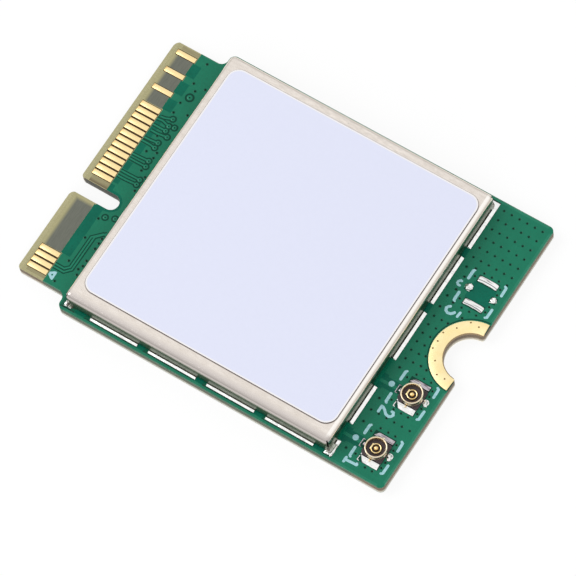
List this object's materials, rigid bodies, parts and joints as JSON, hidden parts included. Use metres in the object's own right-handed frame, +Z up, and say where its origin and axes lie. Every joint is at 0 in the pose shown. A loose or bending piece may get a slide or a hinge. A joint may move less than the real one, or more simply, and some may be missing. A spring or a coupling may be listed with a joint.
{
  "type": "plug-in wireless network card",
  "caption": "Small plug-in wireless card: green board with an edge plug and a half-round screw notch, a folded metal shield with a blank label, and push-on antenna sockets.",
  "frame": {"origin": "middle of the board's outline, on its underside, where it rests", "axes": "+X along the card from the edge plug to the screw notch, +Y across the card towards the last contacts, +Z up out of the side that carries the shield"},
  "size_m": [0.03, 0.022, 0.0024],
  "materials": {
    "board_core": "glass-fibre laminate, bare olive yellow",
    "green_lacquer": "smooth glossy green lacquer",
    "gold_plate": "bright gold plating on copper",
    "tinned_copper": "tinned copper land",
    "solder": "bright solder",
    "white_ink": "pale printed ink",
    "shield_sheet": "warm grey rolled sheet",
    "label_paper": "smooth blank label",
    "socket_plastic": "dark moulded plastic",
    "socket_gold": "pale gold plating",
    "chip_plastic": "black moulding compound",
    "lead_tin": "tin-plated lead",
    "heat_pad_rubber": "soft grey-blue pad",
    "filter_ceramic": "fired ceramic",
    "crystal_ceramic": "fired ceramic",
    "crystal_metal": "plated lid",
    "coil_core": "pressed ferrite",
    "capacitor_ceramic": "tan ceramic",
    "resistor_film": "black glazed ceramic"
  },
  "bodies": {
    "root": {"circuit_board": "board_core", "green_lacquer_top": "green_lacquer", "green_lacquer_bottom": "green_lacquer", "edge_contacts_top": "gold_plate", "edge_contacts_bottom": "gold_plate", "screw_notch_land_top": "gold_plate", "screw_notch_land_bottom": "gold_plate", "shield_lands": "tinned_copper", "antenna_lands": "tinned_copper", "white_print": "white_ink", "shield_can": "shield_sheet", "shield_solder": "solder", "label": "label_paper", "antenna_socket_1_base": "socket_plastic", "antenna_socket_1_shell": "socket_gold", "antenna_socket_1_contact": "gold_plate", "antenna_socket_2_base": "socket_plastic", "antenna_socket_2_shell": "socket_gold", "antenna_socket_2_contact": "gold_plate", "socket_solder": "solder", "radio_chip": "chip_plastic", "radio_chip_leads": "lead_tin", "heat_pad": "heat_pad_rubber", "power_chip": "chip_plastic", "power_chip_leads": "lead_tin", "memory_chip": "chip_plastic", "memory_chip_leads": "lead_tin", "antenna_amplifiers": "chip_plastic", "antenna_filters": "filter_ceramic", "crystal_base": "crystal_ceramic", "crystal_lid": "crystal_metal", "coil_cores": "coil_core", "coil_ends": "lead_tin", "capacitor_bodies": "capacitor_ceramic", "capacitor_ends": "lead_tin", "resistor_bodies": "resistor_film", "resistor_ends": "lead_tin"}
  },
  "joints": []
}
